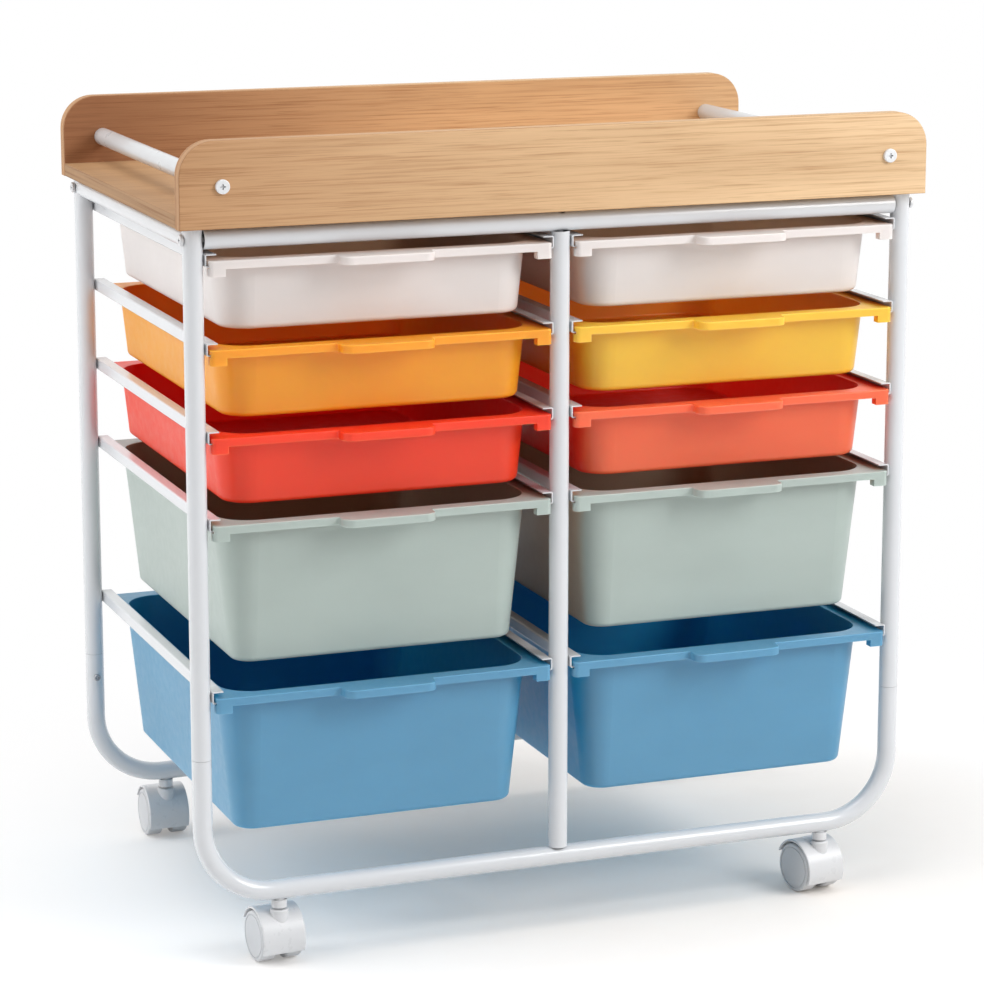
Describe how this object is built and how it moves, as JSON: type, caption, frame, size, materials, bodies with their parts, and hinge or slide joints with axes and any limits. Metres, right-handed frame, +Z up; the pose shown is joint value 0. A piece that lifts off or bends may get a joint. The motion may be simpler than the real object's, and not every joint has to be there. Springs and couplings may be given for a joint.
{
  "type": "rolling drawer cart",
  "caption": "Rolling storage cart with pull-out plastic bins in two columns on a white tube frame, twin-wheel casters and a wooden tray on top.",
  "frame": {"origin": "on the floor, under the middle of the cart's outer box with the casters trailing to the rear", "axes": "+Z up; +X to the right of someone facing the drawers; the drawers pull out along -Y"},
  "size_m": [0.6414, 0.4062, 0.6736],
  "materials": {
    "bin_white": "satin moulded plastic, warm white",
    "bin_orange": "satin moulded plastic, orange",
    "bin_red": "satin moulded plastic, red",
    "bin_yellow": "satin moulded plastic, yellow",
    "bin_coral": "satin moulded plastic, coral",
    "bin_grey": "satin moulded plastic, grey-green",
    "bin_blue": "satin moulded plastic, blue",
    "tray_wood": "clear-finished oak look",
    "dowel_wood": "plain beech",
    "tray_white": "smooth white paint",
    "frame_white": "white powder coat",
    "caster_white": "white moulded nylon",
    "wheel_white": "white moulded nylon",
    "plug_white": "white moulded plastic",
    "insert_black": "black moulded nylon",
    "bolt_white": "smooth white paint",
    "fastener_steel": "zinc-plated steel"
  },
  "bodies": {
    "frame": {"caster_sockets": "caster_white", "caster_stems": "fastener_steel", "centre_left_runners": "frame_white", "centre_right_runners": "frame_white", "front_centre_post": "frame_white", "front_left_leg": "frame_white", "front_lower_tube": "frame_white", "front_right_leg": "frame_white", "front_top_rail": "frame_white", "left_runners": "frame_white", "left_top_rail": "frame_white", "leg_joint_screws": "fastener_steel", "leg_plugs": "plug_white", "post_inserts": "insert_black", "post_screws": "fastener_steel", "rear_centre_post": "frame_white", "rear_left_leg": "frame_white", "rear_lower_tube": "frame_white", "rear_right_leg": "frame_white", "rear_top_rail": "frame_white", "right_runners": "frame_white", "right_top_rail": "frame_white", "top_rail_bolts": "bolt_white", "top_rail_inserts": "insert_black", "tray_base": "tray_wood", "tray_dowels": "dowel_wood", "tray_front_panel": "tray_wood", "tray_left_rod": "tray_white", "tray_mount_screws": "fastener_steel", "tray_rear_panel": "tray_wood", "tray_right_rod": "tray_white", "tray_rod_bolts": "tray_white"},
    "front_left_caster": {"front_left_caster_axle": "fastener_steel", "front_left_caster_hood": "caster_white"},
    "front_left_caster_left_wheel": {"front_left_caster_left_wheel": "wheel_white"},
    "front_left_caster_right_wheel": {"front_left_caster_right_wheel": "wheel_white"},
    "front_right_caster": {"front_right_caster_axle": "fastener_steel", "front_right_caster_hood": "caster_white"},
    "front_right_caster_left_wheel": {"front_right_caster_left_wheel": "wheel_white"},
    "front_right_caster_right_wheel": {"front_right_caster_right_wheel": "wheel_white"},
    "left_drawer_1": {"left_drawer_1": "bin_white"},
    "left_drawer_2": {"left_drawer_2": "bin_orange"},
    "left_drawer_3": {"left_drawer_3": "bin_red"},
    "left_drawer_4": {"left_drawer_4": "bin_grey"},
    "left_drawer_5": {"left_drawer_5": "bin_blue"},
    "rear_left_caster": {"rear_left_caster_axle": "fastener_steel", "rear_left_caster_hood": "caster_white"},
    "rear_left_caster_left_wheel": {"rear_left_caster_left_wheel": "wheel_white"},
    "rear_left_caster_right_wheel": {"rear_left_caster_right_wheel": "wheel_white"},
    "rear_right_caster": {"rear_right_caster_axle": "fastener_steel", "rear_right_caster_hood": "caster_white"},
    "rear_right_caster_left_wheel": {"rear_right_caster_left_wheel": "wheel_white"},
    "rear_right_caster_right_wheel": {"rear_right_caster_right_wheel": "wheel_white"},
    "right_drawer_1": {"right_drawer_1": "bin_white"},
    "right_drawer_2": {"right_drawer_2": "bin_yellow"},
    "right_drawer_3": {"right_drawer_3": "bin_coral"},
    "right_drawer_4": {"right_drawer_4": "bin_grey"},
    "right_drawer_5": {"right_drawer_5": "bin_blue"}
  },
  "joints": [
    {"name": "left_drawer_1_slide", "type": "slide", "parent": "frame", "child": "left_drawer_1", "axis": [0, -1, 0], "range_m": [0, 0.26]},
    {"name": "left_drawer_2_slide", "type": "slide", "parent": "frame", "child": "left_drawer_2", "axis": [0, -1, 0], "range_m": [0, 0.26]},
    {"name": "left_drawer_3_slide", "type": "slide", "parent": "frame", "child": "left_drawer_3", "axis": [0, -1, 0], "range_m": [0, 0.26]},
    {"name": "left_drawer_4_slide", "type": "slide", "parent": "frame", "child": "left_drawer_4", "axis": [0, -1, 0], "range_m": [0, 0.26]},
    {"name": "left_drawer_5_slide", "type": "slide", "parent": "frame", "child": "left_drawer_5", "axis": [0, -1, 0], "range_m": [0, 0.26]},
    {"name": "right_drawer_1_slide", "type": "slide", "parent": "frame", "child": "right_drawer_1", "axis": [0, -1, 0], "range_m": [0, 0.26]},
    {"name": "right_drawer_2_slide", "type": "slide", "parent": "frame", "child": "right_drawer_2", "axis": [0, -1, 0], "range_m": [0, 0.26]},
    {"name": "right_drawer_3_slide", "type": "slide", "parent": "frame", "child": "right_drawer_3", "axis": [0, -1, 0], "range_m": [0, 0.26]},
    {"name": "right_drawer_4_slide", "type": "slide", "parent": "frame", "child": "right_drawer_4", "axis": [0, -1, 0], "range_m": [0, 0.26]},
    {"name": "right_drawer_5_slide", "type": "slide", "parent": "frame", "child": "right_drawer_5", "axis": [0, -1, 0], "range_m": [0, 0.26]},
    {"name": "front_left_caster_swivel", "type": "hinge", "parent": "frame", "child": "front_left_caster", "pos_m": [-0.243, -0.17706, 0.045], "axis": [0, 0, 1], "continuous": true},
    {"name": "front_left_caster_left_wheel_spin", "type": "hinge", "parent": "front_left_caster", "child": "front_left_caster_left_wheel", "pos_m": [-0.2555, -0.16611, 0.021], "axis": [0.9962, 0.0872, 0], "continuous": true},
    {"name": "front_left_caster_right_wheel_spin", "type": "hinge", "parent": "front_left_caster", "child": "front_left_caster_right_wheel", "pos_m": [-0.23259, -0.1641, 0.021], "axis": [0.9962, 0.0872, 0], "continuous": true},
    {"name": "front_right_caster_swivel", "type": "hinge", "parent": "frame", "child": "front_right_caster", "pos_m": [0.243, -0.17706, 0.045], "axis": [0, 0, 1], "continuous": true},
    {"name": "front_right_caster_left_wheel_spin", "type": "hinge", "parent": "front_right_caster", "child": "front_right_caster_left_wheel", "pos_m": [0.22959, -0.16724, 0.021], "axis": [0.9848, 0.1736, 0], "continuous": true},
    {"name": "front_right_caster_right_wheel_spin", "type": "hinge", "parent": "front_right_caster", "child": "front_right_caster_right_wheel", "pos_m": [0.25224, -0.16324, 0.021], "axis": [0.9848, 0.1736, 0], "continuous": true},
    {"name": "rear_left_caster_swivel", "type": "hinge", "parent": "frame", "child": "rear_left_caster", "pos_m": [-0.243, 0.16894, 0.045], "axis": [0, 0, 1], "continuous": true},
    {"name": "rear_left_caster_left_wheel_spin", "type": "hinge", "parent": "rear_left_caster", "child": "rear_left_caster_left_wheel", "pos_m": [-0.2545, 0.18094, 0.021], "axis": [1, 0, 0], "continuous": true},
    {"name": "rear_left_caster_right_wheel_spin", "type": "hinge", "parent": "rear_left_caster", "child": "rear_left_caster_right_wheel", "pos_m": [-0.2315, 0.18094, 0.021], "axis": [1, 0, 0], "continuous": true},
    {"name": "rear_right_caster_swivel", "type": "hinge", "parent": "frame", "child": "rear_right_caster", "pos_m": [0.243, 0.16894, 0.045], "axis": [0, 0, 1], "continuous": true},
    {"name": "rear_right_caster_left_wheel_spin", "type": "hinge", "parent": "rear_right_caster", "child": "rear_right_caster_left_wheel", "pos_m": [0.2315, 0.18094, 0.021], "axis": [1, 0, 0], "continuous": true},
    {"name": "rear_right_caster_right_wheel_spin", "type": "hinge", "parent": "rear_right_caster", "child": "rear_right_caster_right_wheel", "pos_m": [0.2545, 0.18094, 0.021], "axis": [1, 0, 0], "continuous": true}
  ]
}
